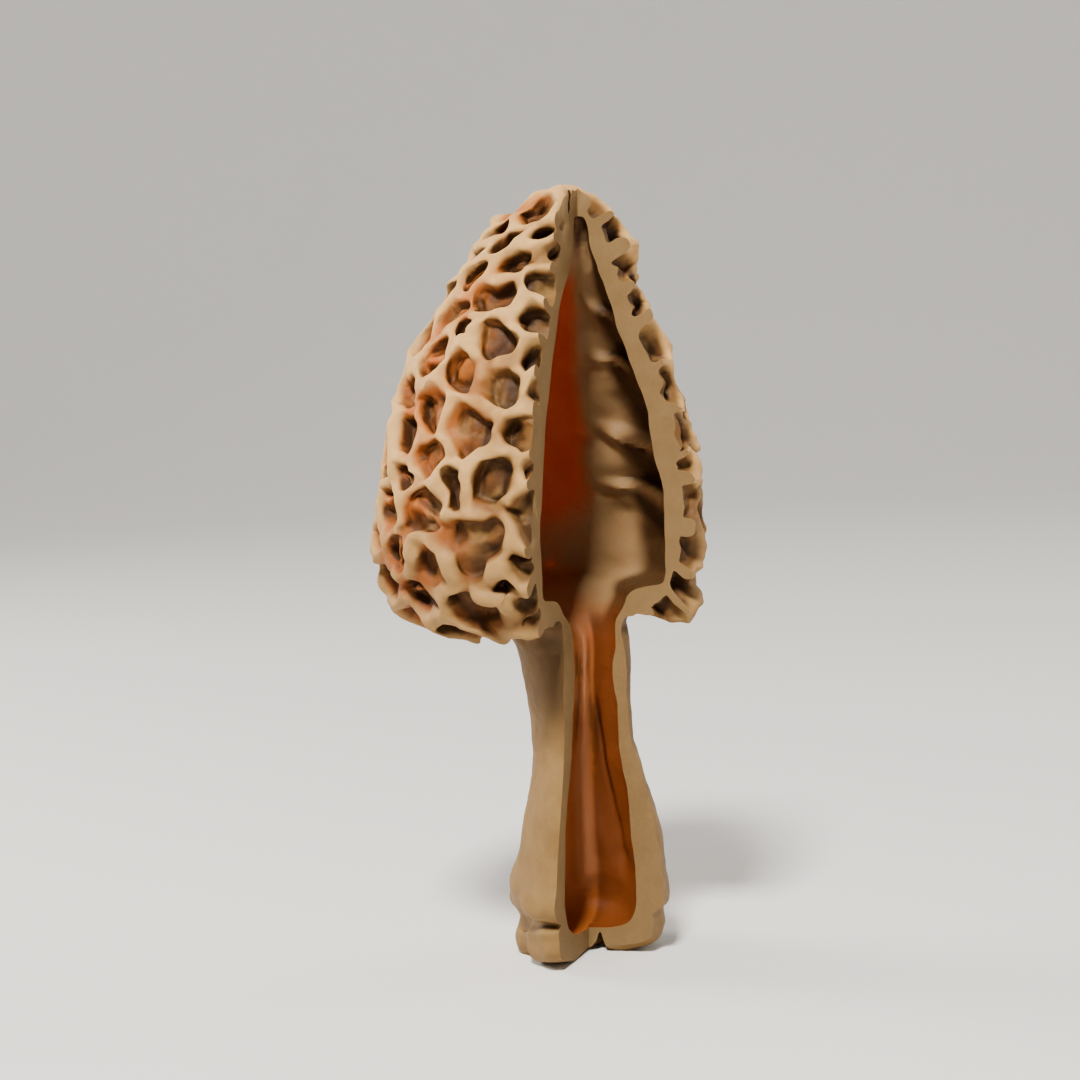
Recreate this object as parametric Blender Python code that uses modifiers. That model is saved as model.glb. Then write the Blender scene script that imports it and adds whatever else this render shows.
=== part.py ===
"""Morel mushroom with a quarter cut out of it, so that its hollow shows.

One closed body: a honeycomb cap and a stem that grew as one piece round one hollow.
Its outer skin is one net of cells, wound round a profile. On the cap each cell is a pit between ridges.
The hollow and the missing quarter are then cut out of it.
Metres, +Z up. The mushroom stands on the lobes of its base at Z 0.
"""

import math
import random

import bmesh
import bpy
import numpy as np
from mathutils import Matrix, Vector
from mathutils.geometry import delaunay_2d_cdt

MM = 0.001

# The foot of the line where the two cut faces meet, and the direction away from which the cap leans.
CORNER = Vector((5.19, -0.24, 0.0)) * MM
LEAN_TURN = math.radians(21.0)
LEAN = Vector((math.cos(LEAN_TURN), math.sin(LEAN_TURN), 0.0))
ACROSS = Vector((-math.sin(LEAN_TURN), math.cos(LEAN_TURN), 0.0))
# The grown shape is tipped back by this much against its lean, which sets it square on its base.
STAND = Matrix.Rotation(math.radians(1.5), 3, ACROSS)

# The skin at the floor of the pits, as (radius, height) in mm, from the tip of the cap to under the base.
SKIN = [
    (0.0, 120.5), (3.9, 119.8), (6.8, 117.5), (8.7, 114.5), (10.3, 111.3), (11.8, 108.3), (13.6, 104.7),
    (15.9, 100.5), (17.9, 95.9), (19.7, 91.3), (21.1, 86.7), (22.2, 82.1), (23.1, 77.3), (23.8, 72.7),
    (24.2, 68.7), (23.6, 64.7), (22.3, 60.8), (20.5, 57.6), (17.8, 56.0), (14.5, 55.7), (11.7, 55.2),
    (9.9, 53.9), (9.1, 50.5), (8.7, 46.3), (8.3, 41.3), (8.2, 36.3), (8.9, 31.3), (10.0, 26.0),
    (11.2, 20.8), (12.0, 15.3), (12.9, 10.5), (12.6, 7.5), (11.5, 5.4), (11.6, 3.4), (11.8, 1.4),
    (11.5, -0.2), (10.3, -1.0), (7.0, -0.8), (3.4, 0.4), (0.0, 1.0),
]
# The hollow, in the same terms.
HOLLOW = [
    (0.0, 118.6), (1.3, 118.2), (1.9, 116.4), (2.0, 114.2), (2.8, 112.4), (4.6, 109.9), (7.9, 106.7),
    (10.5, 103.7), (13.1, 98.9), (15.5, 93.6), (17.6, 87.7), (19.2, 81.5), (20.4, 75.3), (21.1, 70.3),
    (21.3, 65.9), (20.9, 62.7), (20.6, 60.8), (19.5, 59.5), (16.8, 59.1), (14.2, 58.7), (12.2, 57.9),
    (10.4, 56.7), (8.2, 55.1), (6.6, 53.7), (5.3, 51.0), (4.8, 47.3), (5.0, 43.3), (5.4, 39.3),
    (5.8, 35.3), (6.4, 31.3), (7.1, 26.9), (7.6, 22.3), (7.9, 17.3), (8.3, 12.3), (8.2, 8.5),
    (7.2, 5.7), (4.6, 4.3), (0.0, 3.8),
]
# How far the middle of each level lies from the corner, in mm along the lean and across it, and how much
# deeper than wide it is there: (height, along, across, depth share).
SKIN_MIDDLE = [
    (0.0, 0.2, -0.2, 1.12), (10.0, 0.2, -0.5, 1.12), (18.0, 0.5, -0.8, 1.12), (26.0, 0.2, -0.8, 1.1),
    (34.0, -0.3, -0.6, 1.06), (43.0, -1.3, -0.3, 1.03), (49.0, -1.8, 0.2, 1.0), (54.0, -3.5, 1.0, 0.96),
    (59.0, -6.1, 1.7, 0.94), (69.0, -6.8, 1.8, 0.94), (87.0, -6.6, 1.8, 0.94), (97.0, -6.2, 1.6, 0.94),
    (107.0, -5.2, 1.3, 0.95), (115.0, -3.7, 1.0, 0.97), (121.0, -2.7, 0.8, 1.0),
]
HOLLOW_MIDDLE = [
    (0.0, -0.2, -0.6, 1.1), (10.0, -0.4, -1.0, 1.1), (20.0, -0.5, -1.2, 1.08), (28.0, -0.5, -0.7, 1.02),
    (36.0, -0.1, 0.0, 1.02), (44.0, 0.3, 0.6, 1.06), (51.0, 0.2, 0.8, 1.08), (56.0, -2.5, 1.3, 1.0),
    (60.0, -5.6, 2.2, 0.94),
    (69.0, -6.5, 2.4, 0.94), (81.0, -6.3, 2.3, 0.94), (93.0, -5.9, 2.1, 0.94), (103.0, -4.7, 1.4, 0.94),
    (109.0, -1.7, 0.6, 0.94), (112.0, -0.3, 0.1, 0.95), (118.0, -0.2, 0.0, 1.0),
]
RIM_SLOPE = 0.06  # the rim is lower on the side that the cap leans to
RIM_SLOPE_HEIGHTS = (48.0, 56.0, 70.0, 96.0)  # where that slope fades in and out again

# Cell width in mm down the length of the skin, as (length from the tip, width).
CELL_WIDTH = [
    (0.0, 4.2), (14.0, 5.2), (32.0, 6.4), (64.0, 6.9), (78.0, 6.4), (88.0, 4.6), (122.0, 4.4),
    (138.0, 2.9), (170.0, 2.9),
]
CELL_SHIFT = 0.27  # how far a cell's middle may stray, as a share of its width
PLAIN_SHIFT = 0.1  # the same on the stem
NET_SEED = 11
# The middles of the cells that the cut faces run through, by length from the tip in mm. They are stacked so
# that the ridges between them are cut straight across.
RIGHT_FACE_CELLS = [10.4, 16.0, 22.9, 29.9, 37.8, 45.5, 51.4, 57.4, 63.3, 69.5]
LEFT_FACE_CELLS = [13.3, 19.7, 26.4, 32.3, 37.4, 43.0, 49.1, 55.2, 61.6, 68.6]
FACE_CLEARANCE = 0.8  # the other cells' middles keep this far from those, as a share of a cell's width
TIP_ROW = 6  # cells round the one at the very tip
SEAM_MARGIN = 1.6  # how much of the net is repeated past each side of its seam, in radians

RIDGE_HEIGHT = 3.2
RIDGE_LOW = 0.7  # the lowest ridge corner, as a share of the full height
RIM_RIDGE = 0.22  # how much taller the ridges are at the rim, as a share
RIM_RIDGE_START = (62.0, 71.0)  # where they grow, by length from the tip in mm
RIDGE_END = (75.0, 79.5)  # the ridges fade out under the rim, by length from the tip in mm
SHOULDER_INSET = 0.85  # half the ridge's top
FLOOR_INSET = 1.4  # from the ridge's line to the foot of its wall
FLOOR_BOWL = 0.35  # the floor's edge stands this much above its middle
SMALLEST_PIT = 0.24  # the least that an inset leaves of a cell

FLUTE_SWELL = 0.35
LOBES = 5
LOBE_SWELL = 0.8
LOBE_TURN = 0.38
CREASE_DEPTH = 1.3
BEARING_RIGHT = 2.0  # past these distances from its middle, along and across the lean, the base turns up
BEARING_FRONT = 3.0
UPTURN_RIGHT = 0.24
UPTURN_FRONT = 0.42
LEDGE_PUSH = 0.5  # how far the wall of the hollow is pushed out by each kind of unevenness
PILLOW_PUSH = 0.6
FOLD_PUSH = 0.7
HOLLOW_STEPS = 36
FLESH_COLOUR = (0.62, 0.44, 0.27, 1.0)


def spread(points, per_step=10):
    """A smooth curve through points, with per_step points for each stretch (Catmull-Rom)."""
    p = np.array(points, float)
    p = np.vstack([2 * p[0] - p[1], p, 2 * p[-1] - p[-2]])
    t = np.linspace(0.0, 1.0, per_step, endpoint=False)[:, None]
    made = [
        0.5 * (2 * b + (c - a) * t + (2 * a - 5 * b + 4 * c - d) * t**2 + (3 * b - a - 3 * c + d) * t**3)
        for a, b, c, d in zip(p, p[1:], p[2:], p[3:])
    ]
    return np.vstack(made + [p[-2][None]])


SKIN_LINE = spread(SKIN)
SKIN_LINE[:, 0] = np.maximum(SKIN_LINE[:, 0], 0.0)
SKIN_LENGTH = np.concatenate([[0.0], np.cumsum(np.linalg.norm(np.diff(SKIN_LINE, axis=0), axis=1))])
SKIN_RUN = np.gradient(SKIN_LINE, SKIN_LENGTH, axis=0)
SKIN_MIDDLE_LINE = spread(SKIN_MIDDLE)
HOLLOW_MIDDLE_LINE = spread(HOLLOW_MIDDLE)


def skin_at(length):
    """(radius, height, outward slope of radius, outward slope of height) of the skin, in mm."""
    radius, height = (np.interp(length, SKIN_LENGTH, SKIN_LINE[:, i]) for i in (0, 1))
    run_r, run_z = (np.interp(length, SKIN_LENGTH, SKIN_RUN[:, i]) for i in (0, 1))
    size = math.hypot(run_r, run_z) or 1.0
    return radius, height, -run_z / size, run_r / size


def cell_width(length):
    return np.interp(length, *np.transpose(CELL_WIDTH))


def smooth_step(value, low, high):
    t = min(1.0, max(0.0, (value - low) / (high - low)))
    return t * t * (3 - 2 * t)


def place(turn, radius, height, middle_line):
    """The point at that turn and radius round the middle of a level, in metres."""
    along, across, share = (np.interp(height, middle_line[:, 0], middle_line[:, i]) for i in (1, 2, 3))
    from_middle = radius * math.cos(turn)
    fade_in, full, hold, fade_out = RIM_SLOPE_HEIGHTS
    slope = RIM_SLOPE * smooth_step(height, fade_in, full) * (1 - smooth_step(height, hold, fade_out))
    along += from_middle
    across += radius * math.sin(turn) * share
    grown = LEAN * along + ACROSS * across + Vector((0, 0, height + slope * from_middle))
    return CORNER + STAND @ grown * MM


def lobe(turn):
    """1 in the middle of a lobe of the base, and -1 in the crease between two."""
    return math.sin(LOBES * turn + LOBE_TURN + 0.5 * math.sin(turn))


def swell(turn, height):
    """How much wider the stem is than its profile: soft flutes above, and lobes at the base, in mm."""
    on_stem = smooth_step(height, 8, 20) * (1 - smooth_step(height, 46, 54))
    flutes = FLUTE_SWELL * math.sin(3 * turn + 0.6) * on_stem
    return flutes + LOBE_SWELL * lobe(turn) * (1 - smooth_step(height, 6, 14))


def lift(turn, radius, height):
    """How far the base is raised, in mm: in the creases between its lobes, and where it doesn't bear."""
    creases = CREASE_DEPTH * smooth_step(-lobe(turn), 0.2, 1.0) * smooth_step(radius, 1, 6)
    right = UPTURN_RIGHT * max(0.0, radius * math.cos(turn) - BEARING_RIGHT)
    front = UPTURN_FRONT * max(0.0, -radius * math.sin(turn) - BEARING_FRONT)
    upturn = (right + front) * smooth_step(radius, 2, 8)
    return creases * (height < 4) + upturn * (1 - smooth_step(height, 3, 9))


def skin_point(turn, length, raised=0.0):
    """The skin's point at that turn and length from the tip, raised outwards by that many mm."""
    radius, height, out_r, out_z = skin_at(length)
    wide = radius + out_r * raised + swell(turn, height) * min(1.0, radius / 8)
    height += out_z * raised + lift(turn, radius, height)
    point = place(turn, wide, height, SKIN_MIDDLE_LINE)
    point.z = max(0.0, point.z)
    return point


def face_turn(direction, length):
    """The turn at which the cut face that runs that way from the corner meets the skin, at that length."""
    radius, height, _, _ = skin_at(length)
    middle = (np.interp(height, SKIN_MIDDLE_LINE[:, 0], SKIN_MIDDLE_LINE[:, i]) for i in (1, 2, 3))
    along, across, share = middle
    start = Vector((-along, -across / share))
    run = Vector((direction.dot(LEAN), direction.dot(ACROSS) / share)).normalized()
    towards = start.dot(run)
    at = start + run * (math.sqrt(towards**2 + radius**2 - start.length_squared) - towards)
    return math.atan2(at.y, at.x) % (2 * math.pi)


def apart(one, other):
    """How far two places on the skin are from each other, in mm. Each is (turn, length)."""
    turn = (one[0] - other[0] + math.pi) % (2 * math.pi) - math.pi
    return math.hypot(turn * skin_at(one[1])[0], one[1] - other[1])


def seeds():
    """The middles of the cells, as (turn, length): two stacks, then a golden-angle winding with stray."""
    stacks = [(Vector((1, 0, 0)), RIGHT_FACE_CELLS), (Vector((0, -1, 0)), LEFT_FACE_CELLS)]
    stacked = [(face_turn(direction, length), length) for direction, stack in stacks for length in stack]
    draw = random.Random(NET_SEED)
    lengths = np.linspace(0.0, SKIN_LENGTH[-1], 4000)
    radii = np.interp(lengths, SKIN_LENGTH, SKIN_LINE[:, 0])
    widths = np.array([cell_width(x) for x in lengths])
    rate = 2 * math.pi * radii / widths**2
    counts = np.concatenate([[0.0], np.cumsum((rate[1:] + rate[:-1]) / 2 * np.diff(lengths))])
    golden = math.pi * (3 - math.sqrt(5))
    found = []
    for k in range(3, int(counts[-1]) - 2):
        length = float(np.interp(k + 0.5, counts, lengths))
        radius = max(1.0, skin_at(length)[0])
        stray = cell_width(length) * (CELL_SHIFT if length < RIDGE_END[1] else PLAIN_SHIFT)
        turn = (k * golden + draw.uniform(-stray, stray) / radius) % (2 * math.pi)
        length += draw.uniform(-stray, stray)
        clearance = FACE_CLEARANCE * cell_width(length)
        if all(apart((turn, length), other) > clearance for other in stacked):
            found.append((turn, length))
    return stacked + found


def flat_heights():
    """(lengths, heights): the height of each length when the skin is unrolled so that angles are kept."""
    lengths = np.linspace(1.2, SKIN_LENGTH[-1] - 1.2, 3000)
    radii = np.maximum(np.interp(lengths, SKIN_LENGTH, SKIN_LINE[:, 0]), 0.4)
    heights = np.concatenate([[0.0], np.cumsum(np.diff(lengths) / ((radii[1:] + radii[:-1]) / 2))])
    return lengths, heights


def net():
    """(corners, cells): a corner is (turn, length), and a cell its corners' numbers in turn, and its middle."""
    lengths, heights = flat_heights()
    middles = seeds()
    flat = [(turn, float(np.interp(length, lengths, heights))) for turn, length in middles]
    past_ends = [
        (2 * math.pi * i / TIP_ROW, edge)
        for edge in (heights[0] - 0.3, heights[-1] + 0.3)
        for i in range(TIP_ROW)
    ]
    points, owner = [], []
    for i, (turn, height) in enumerate(flat + past_ends):
        for shift in (-2 * math.pi, 0.0, 2 * math.pi):
            if -SEAM_MARGIN < turn + shift < 2 * math.pi + SEAM_MARGIN:
                points.append(Vector((turn + shift, height)))
                owner.append(i)
    spots, _, triangles, sources, _, _ = delaunay_2d_cdt(points, [], [], 0, 1e-9)
    owner = [owner[source[0]] for source in sources]
    corners, number, around = [], {}, {}
    for triangle in triangles:
        key = tuple(sorted(owner[v] for v in triangle))
        if len(set(key)) < 3 or key[0] >= len(flat):
            continue
        spot = sum((spots[v] for v in triangle), Vector((0.0, 0.0))) / 3
        if key not in number:
            number[key] = len(corners)
            corners.append((spot.x % (2 * math.pi), float(np.interp(spot.y, heights, lengths))))
        for v in triangle:
            if 0 <= spots[v].x < 2 * math.pi and owner[v] < len(flat):
                away = spot - spots[v]
                around.setdefault(owner[v], {})[number[key]] = math.atan2(away.y, away.x)
    return corners, [(sorted(loop, key=loop.get), middles[i]) for i, loop in sorted(around.items())]


def ridge_heights(corners):
    """The ridge's height at each corner, in mm. It fades out under the rim."""
    draw = random.Random(NET_SEED + 1)
    found = []
    for _, length in corners:
        share = draw.uniform(0.9, 1.04) if draw.random() < 0.8 else draw.uniform(RIDGE_LOW, 0.85)
        fade = 1 - smooth_step(length, *RIDGE_END)
        found.append(RIDGE_HEIGHT * share * fade * (1 + RIM_RIDGE * smooth_step(length, *RIM_RIDGE_START)))
    return found


def from_middle(corner, middle):
    """How far a corner is from its cell's middle, as (turn, length)."""
    return (corner[0] - middle[0] + math.pi) % (2 * math.pi) - math.pi, corner[1] - middle[1]


def inset(corner, middle, share):
    """The point at that share of the way from a cell's middle to a corner."""
    turn, length = from_middle(corner, middle)
    return middle[0] + turn * share, middle[1] + length * share


def half_width(ring, middle):
    """How far the sides of a cell are from its middle, on average, in mm."""
    radius = max(0.6, skin_at(middle[1])[0])
    spans = [math.hypot(turn * radius, length) for turn, length in (from_middle(c, middle) for c in ring)]
    return sum(spans) / len(spans) * math.cos(math.pi / len(ring))


def sides(outer, inner):
    """The four-sided faces between two rings of vertices."""
    return [
        (outer[a], outer[b], inner[b], inner[a])
        for a, b in zip(range(len(outer)), list(range(1, len(outer))) + [0])
    ]


def outer_skin():
    """The whole outer surface as one closed mesh object, pits and ridges included."""
    corners, cells = net()
    heights = ridge_heights(corners)
    mesh = bmesh.new()
    tops = [mesh.verts.new(skin_point(*corner, height)) for corner, height in zip(corners, heights)]
    for loop, middle in cells:
        crest = [tops[i] for i in loop]
        if sum(heights[i] for i in loop) < 0.5 * len(loop):
            mesh.faces.new(crest)
            continue
        ring = [corners[i] for i in loop]
        reach = half_width(ring, middle)
        to_shoulder, to_floor = (max(SMALLEST_PIT, 1 - x / reach) for x in (SHOULDER_INSET, FLOOR_INSET))
        shoulder, foot = [], []
        for i, corner in zip(loop, ring):
            on_shoulder = skin_point(*inset(corner, middle, to_shoulder), heights[i] * 0.94)
            at_foot = skin_point(*inset(corner, middle, to_floor), min(FLOOR_BOWL, heights[i] * 0.3))
            shoulder.append(mesh.verts.new(on_shoulder))
            foot.append(mesh.verts.new(at_foot))
        centre = mesh.verts.new(skin_point(*middle))
        for face in sides(crest, shoulder) + sides(shoulder, foot):
            mesh.faces.new(face)
        for a, b in zip(foot, foot[1:] + foot[:1]):
            mesh.faces.new((a, b, centre))
    bmesh.ops.holes_fill(mesh, edges=[e for e in mesh.edges if e.is_boundary])
    bmesh.ops.triangulate(mesh, faces=mesh.faces)
    bmesh.ops.recalc_face_normals(mesh, faces=mesh.faces)
    return object_from(mesh, "morel")


def hollow_bumps(turn, height):
    """How far the hollow's wall is pushed out: pillows and ledges in the cap, long folds in the stem, in mm."""
    in_cap = smooth_step(height, 62, 68) * (1 - smooth_step(height, 102, 110))
    in_stem = (1 - smooth_step(height, 50, 57)) * smooth_step(height, 6, 12)
    ledges = math.sin(0.5 * height + 0.9 * math.cos(turn - 0.6))
    pillows = math.sin(5 * turn + 0.08 * height) * math.sin(0.42 * height + 1.5 * math.sin(2 * turn))
    folds = math.sin(3 * turn + 0.9 + 0.02 * height) + 0.5 * math.sin(5 * turn)
    return in_cap * (LEDGE_PUSH * ledges + PILLOW_PUSH * pillows) + in_stem * FOLD_PUSH * folds


def hollow():
    """The hollow as a solid: a turned profile whose wall is then moved to the mushroom's own lean."""
    line = spread(HOLLOW, 2)
    data = bpy.data.meshes.new("hollow")
    points = [(max(0.0, r) * MM, 0.0, z * MM) for r, z in line]
    data.from_pydata(points, [(i, i + 1) for i in range(len(points) - 1)], [])
    obj = bpy.data.objects.new("hollow", data)
    tools.objects.link(obj)
    turned = obj.modifiers.new("turned", "SCREW")
    turned.steps = turned.render_steps = HOLLOW_STEPS
    turned.use_merge_vertices = True
    turned.merge_threshold = 0.00005
    graph = bpy.context.evaluated_depsgraph_get()
    obj.data = bpy.data.meshes.new_from_object(obj.evaluated_get(graph))
    obj.modifiers.clear()
    for vertex in obj.data.vertices:
        x, y, z = vertex.co / MM
        turn, radius = math.atan2(y, x), math.hypot(x, y)
        pushed = radius + hollow_bumps(turn, z) * min(1.0, radius / 4)
        vertex.co = place(turn, pushed, z, HOLLOW_MIDDLE_LINE)
    return obj


def missing_quarter():
    """A box over the quarter at +X and -Y of the corner, which is cut away."""
    side, tall = 0.08, 0.16
    bpy.ops.mesh.primitive_cube_add(
        size=1,
        scale=(side, side, tall),
        location=(CORNER.x + side / 2, CORNER.y - side / 2, tall / 2 - 0.01),
    )
    obj = bpy.context.object
    obj.name = "missing_quarter"
    bpy.ops.object.transform_apply(location=True, rotation=False, scale=True)
    about_corner = Matrix.Translation(CORNER) @ STAND.to_4x4() @ Matrix.Translation(-CORNER)
    obj.data.transform(about_corner)
    for collection in obj.users_collection:
        collection.objects.unlink(obj)
    tools.objects.link(obj)
    return obj


def object_from(mesh, name):
    data = bpy.data.meshes.new(name)
    mesh.to_mesh(data)
    mesh.free()
    obj = bpy.data.objects.new(name, data)
    part.objects.link(obj)
    return obj


def cut(obj, cutter):
    boolean = obj.modifiers.new("cut_" + cutter.name, "BOOLEAN")
    boolean.operation = "DIFFERENCE"
    boolean.object = cutter
    cutter.hide_render = True
    cutter.display_type = "WIRE"


def flesh():
    material = bpy.data.materials.new("flesh")
    material.use_nodes = True
    shader = material.node_tree.nodes["Principled BSDF"]
    shader.inputs["Base Color"].default_value = FLESH_COLOUR
    shader.inputs["Roughness"].default_value = 0.6
    shader.inputs["Metallic"].default_value = 0.0
    return material


def clear_scene():
    for obj in list(bpy.data.objects):
        bpy.data.objects.remove(obj, do_unlink=True)


def collection_named(name):
    made = bpy.data.collections.new(name)
    bpy.context.scene.collection.children.link(made)
    return made


clear_scene()
part = collection_named("morel_mushroom")
tools = collection_named("cutters")
morel = outer_skin()
morel.data.materials.append(flesh())
cut(morel, hollow())
cut(morel, missing_quarter())
morel.data.shade_smooth()
morel.data.set_sharp_from_angle(angle=math.radians(50))
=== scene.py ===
"""Morel mushroom with a quarter cut out of it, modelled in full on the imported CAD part.

The honeycomb cap, the stem and the hollow inside them are one piece of flesh.
"""

import math
import random

import bpy
import numpy as np
from mathutils import Matrix, Vector, noise
from mathutils.bvhtree import BVHTree
from mathutils.geometry import delaunay_2d_cdt


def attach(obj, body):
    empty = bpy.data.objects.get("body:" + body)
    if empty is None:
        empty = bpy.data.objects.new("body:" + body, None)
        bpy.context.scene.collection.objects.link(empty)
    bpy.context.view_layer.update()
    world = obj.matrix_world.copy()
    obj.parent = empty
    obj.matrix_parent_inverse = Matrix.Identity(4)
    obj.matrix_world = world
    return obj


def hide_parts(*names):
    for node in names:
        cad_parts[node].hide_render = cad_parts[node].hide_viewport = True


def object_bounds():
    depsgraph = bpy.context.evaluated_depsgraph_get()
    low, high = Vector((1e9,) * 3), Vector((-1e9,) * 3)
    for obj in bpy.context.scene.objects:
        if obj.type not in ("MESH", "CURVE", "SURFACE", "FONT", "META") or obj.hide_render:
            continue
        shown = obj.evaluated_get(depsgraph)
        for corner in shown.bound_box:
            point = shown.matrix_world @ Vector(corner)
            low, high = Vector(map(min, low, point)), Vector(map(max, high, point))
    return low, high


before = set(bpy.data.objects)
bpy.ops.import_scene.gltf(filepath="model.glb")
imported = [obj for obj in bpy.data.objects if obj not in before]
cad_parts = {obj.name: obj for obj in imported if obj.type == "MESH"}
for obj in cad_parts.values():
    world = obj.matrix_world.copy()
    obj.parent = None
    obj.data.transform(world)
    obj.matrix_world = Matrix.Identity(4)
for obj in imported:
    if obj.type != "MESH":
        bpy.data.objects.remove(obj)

CAD_BOX = [list(corner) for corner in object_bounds()]

bl_info = {
    "name": "Morel mushroom",
    "version": (1, 0, 0),
    "blender": (4, 5, 0),
    "location": "View3D > Sidebar > Morel",
    "description": "Grows a morel mushroom with a quarter cut away, and its plain stage",
    "category": "Add Mesh",
}

MM = 0.001
NODE = "morel"

# The line where the two cut faces meet goes up from here.
CORNER = Vector((5.19, -0.24, 0.0)) * MM
# LEAN is level and points away from the side that the cap leans to. ACROSS is level and square to it.
LEAN_TURN = math.radians(21.0)
LEAN = Vector((math.cos(LEAN_TURN), math.sin(LEAN_TURN), 0.0))
ACROSS = Vector((-math.sin(LEAN_TURN), math.cos(LEAN_TURN), 0.0))
# The grown mushroom is tipped a little towards LEAN, so that it stands by itself.
STAND = Matrix.Rotation(math.radians(1.5), 3, ACROSS)
TIPPED = Matrix.Translation(CORNER) @ STAND.to_4x4() @ Matrix.Translation(-CORNER)

# The skin at the floor of the pits, as (radius, height) in mm, from the tip to under the foot.
SKIN = [
    (0.0, 120.5), (3.9, 119.8), (6.8, 117.5), (8.7, 114.5), (10.3, 111.3), (11.8, 108.3), (13.6, 104.7),
    (15.9, 100.5), (17.9, 95.9), (19.7, 91.3), (21.1, 86.7), (22.2, 82.1), (23.1, 77.3), (23.8, 72.7),
    (24.2, 68.7), (23.6, 64.7), (22.3, 60.8), (20.5, 57.6), (17.8, 56.0), (14.5, 55.7), (11.7, 55.2),
    (9.9, 53.9), (9.1, 50.5), (8.7, 46.3), (8.3, 41.3), (8.2, 36.3), (8.9, 31.3), (10.0, 26.0),
    (11.2, 20.8), (12.0, 15.3), (12.9, 10.5), (12.6, 7.5), (11.5, 5.4), (11.6, 3.4), (11.8, 1.4),
    (11.5, -0.2), (10.3, -1.0), (7.0, -0.8), (3.4, 0.4), (0.0, 1.0),
]
# The hollow, in the same terms.
HOLLOW = [
    (0.0, 118.6), (1.3, 118.2), (1.9, 116.4), (2.0, 114.2), (2.8, 112.4), (4.6, 109.9), (7.9, 106.7),
    (10.5, 103.7), (13.1, 98.9), (15.5, 93.6), (17.6, 87.7), (19.2, 81.5), (20.4, 75.3), (21.1, 70.3),
    (21.3, 65.9), (20.9, 62.7), (20.6, 60.8), (19.5, 59.5), (16.8, 59.1), (14.2, 58.7), (12.2, 57.9),
    (10.4, 56.7), (8.2, 55.1), (6.6, 53.7), (5.3, 51.0), (4.8, 47.3), (5.0, 43.3), (5.4, 39.3),
    (5.8, 35.3), (6.4, 31.3), (7.1, 26.9), (7.6, 22.3), (7.9, 17.3), (8.3, 12.3), (8.2, 8.5),
    (7.2, 5.7), (4.6, 4.3), (0.0, 3.8),
]
# How far the middle of each level lies from the corner, in mm along the lean and across it, and how much
# deeper than wide it is there: (height, along, across, depth share).
SKIN_MIDDLE = [
    (0.0, 0.2, -0.2, 1.12), (10.0, 0.2, -0.5, 1.12), (18.0, 0.5, -0.8, 1.12), (26.0, 0.2, -0.8, 1.1),
    (34.0, -0.3, -0.6, 1.06), (43.0, -1.3, -0.3, 1.03), (49.0, -1.8, 0.2, 1.0), (54.0, -3.5, 1.0, 0.96),
    (59.0, -6.1, 1.7, 0.94), (69.0, -6.8, 1.8, 0.94), (87.0, -6.6, 1.8, 0.94), (97.0, -6.2, 1.6, 0.94),
    (107.0, -5.2, 1.3, 0.95), (115.0, -3.7, 1.0, 0.97), (121.0, -2.7, 0.8, 1.0),
]
HOLLOW_MIDDLE = [
    (0.0, -0.2, -0.6, 1.1), (10.0, -0.4, -1.0, 1.1), (20.0, -0.5, -1.2, 1.08), (28.0, -0.5, -0.7, 1.02),
    (36.0, -0.1, 0.0, 1.02), (44.0, 0.3, 0.6, 1.06), (51.0, 0.2, 0.8, 1.08), (56.0, -2.5, 1.3, 1.0),
    (60.0, -5.6, 2.2, 0.94), (69.0, -6.5, 2.4, 0.94), (81.0, -6.3, 2.3, 0.94), (93.0, -5.9, 2.1, 0.94),
    (103.0, -4.7, 1.4, 0.94), (109.0, -1.7, 0.6, 0.94), (112.0, -0.3, 0.1, 0.95), (118.0, -0.2, 0.0, 1.0),
]
# How steeply the rim of the cap rises along LEAN, and the heights where that fades in and out, in mm.
RIM_SLOPE = 0.06
RIM_SLOPE_HEIGHTS = (48.0, 56.0, 70.0, 96.0)

# How wide the cells of the net are, in mm: (length along the skin from the tip, width).
CELL_WIDTH = [
    (0.0, 4.2), (14.0, 5.2), (32.0, 6.4), (64.0, 6.9), (78.0, 6.4), (88.0, 4.6), (122.0, 4.4),
    (138.0, 2.9), (170.0, 2.9),
]
# How far a cell strays from the winding, in cell widths, on the cap and on the plain skin.
CELL_SHIFT = 0.27
PLAIN_SHIFT = 0.1
# How many cells of the winding are left out at the tip and under the foot.
LEFT_OUT = (3, 2)
NET_SEED = 11
# The cells that the cut faces run through, in mm along the skin, and how many widths others keep off.
RIGHT_FACE_CELLS = [10.4, 16.0, 22.9, 29.9, 37.8, 45.5, 51.4, 57.4, 63.3, 69.5]
LEFT_FACE_CELLS = [13.3, 19.7, 26.4, 32.3, 37.4, 43.0, 49.1, 55.2, 61.6, 68.6]
FACE_CLEARANCE = 0.8
# The unrolled net is closed by a row of this many points past each end, and goes on past its seam.
TIP_ROW = 6
PAST_END = 0.3
SEAM_MARGIN = 1.6

# The ridges' heights as shares of the full height, for most and for the low ones.
FULL_RIDGE = (0.9, 1.04)
FULL_RIDGE_CHANCE = 0.8
LOW_RIDGE = (0.7, 0.85)
# How much taller they are at the rim, and where along the skin they grow and where they end, in mm.
RIM_RIDGE = 0.22
RIM_RIDGE_START = (62.0, 71.0)
RIDGE_END = (75.0, 79.5)

# The rings between a ridge's crest and a pit's floor: (inset as a share of half the ridge's thickness,
# share of its height, inset past that in mm).
PIT_RINGS = [(0.7, 0.98, 0.0), (1.02, 0.6, 0.0), (1.1, 0.07, 0.0), (1.1, 0.0, 0.4)]
# How far a pit's floor stands off the skin, in mm, how far in its ring lies, and how round a pit's rings are.
FLOOR_RISE = 0.05
FLOOR_INSET = 0.45
ROUNDING = 0.15
# A pit whose corners are further than this from its middle, in mm, is wide.
WIDE_PIT = 3.3
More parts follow.
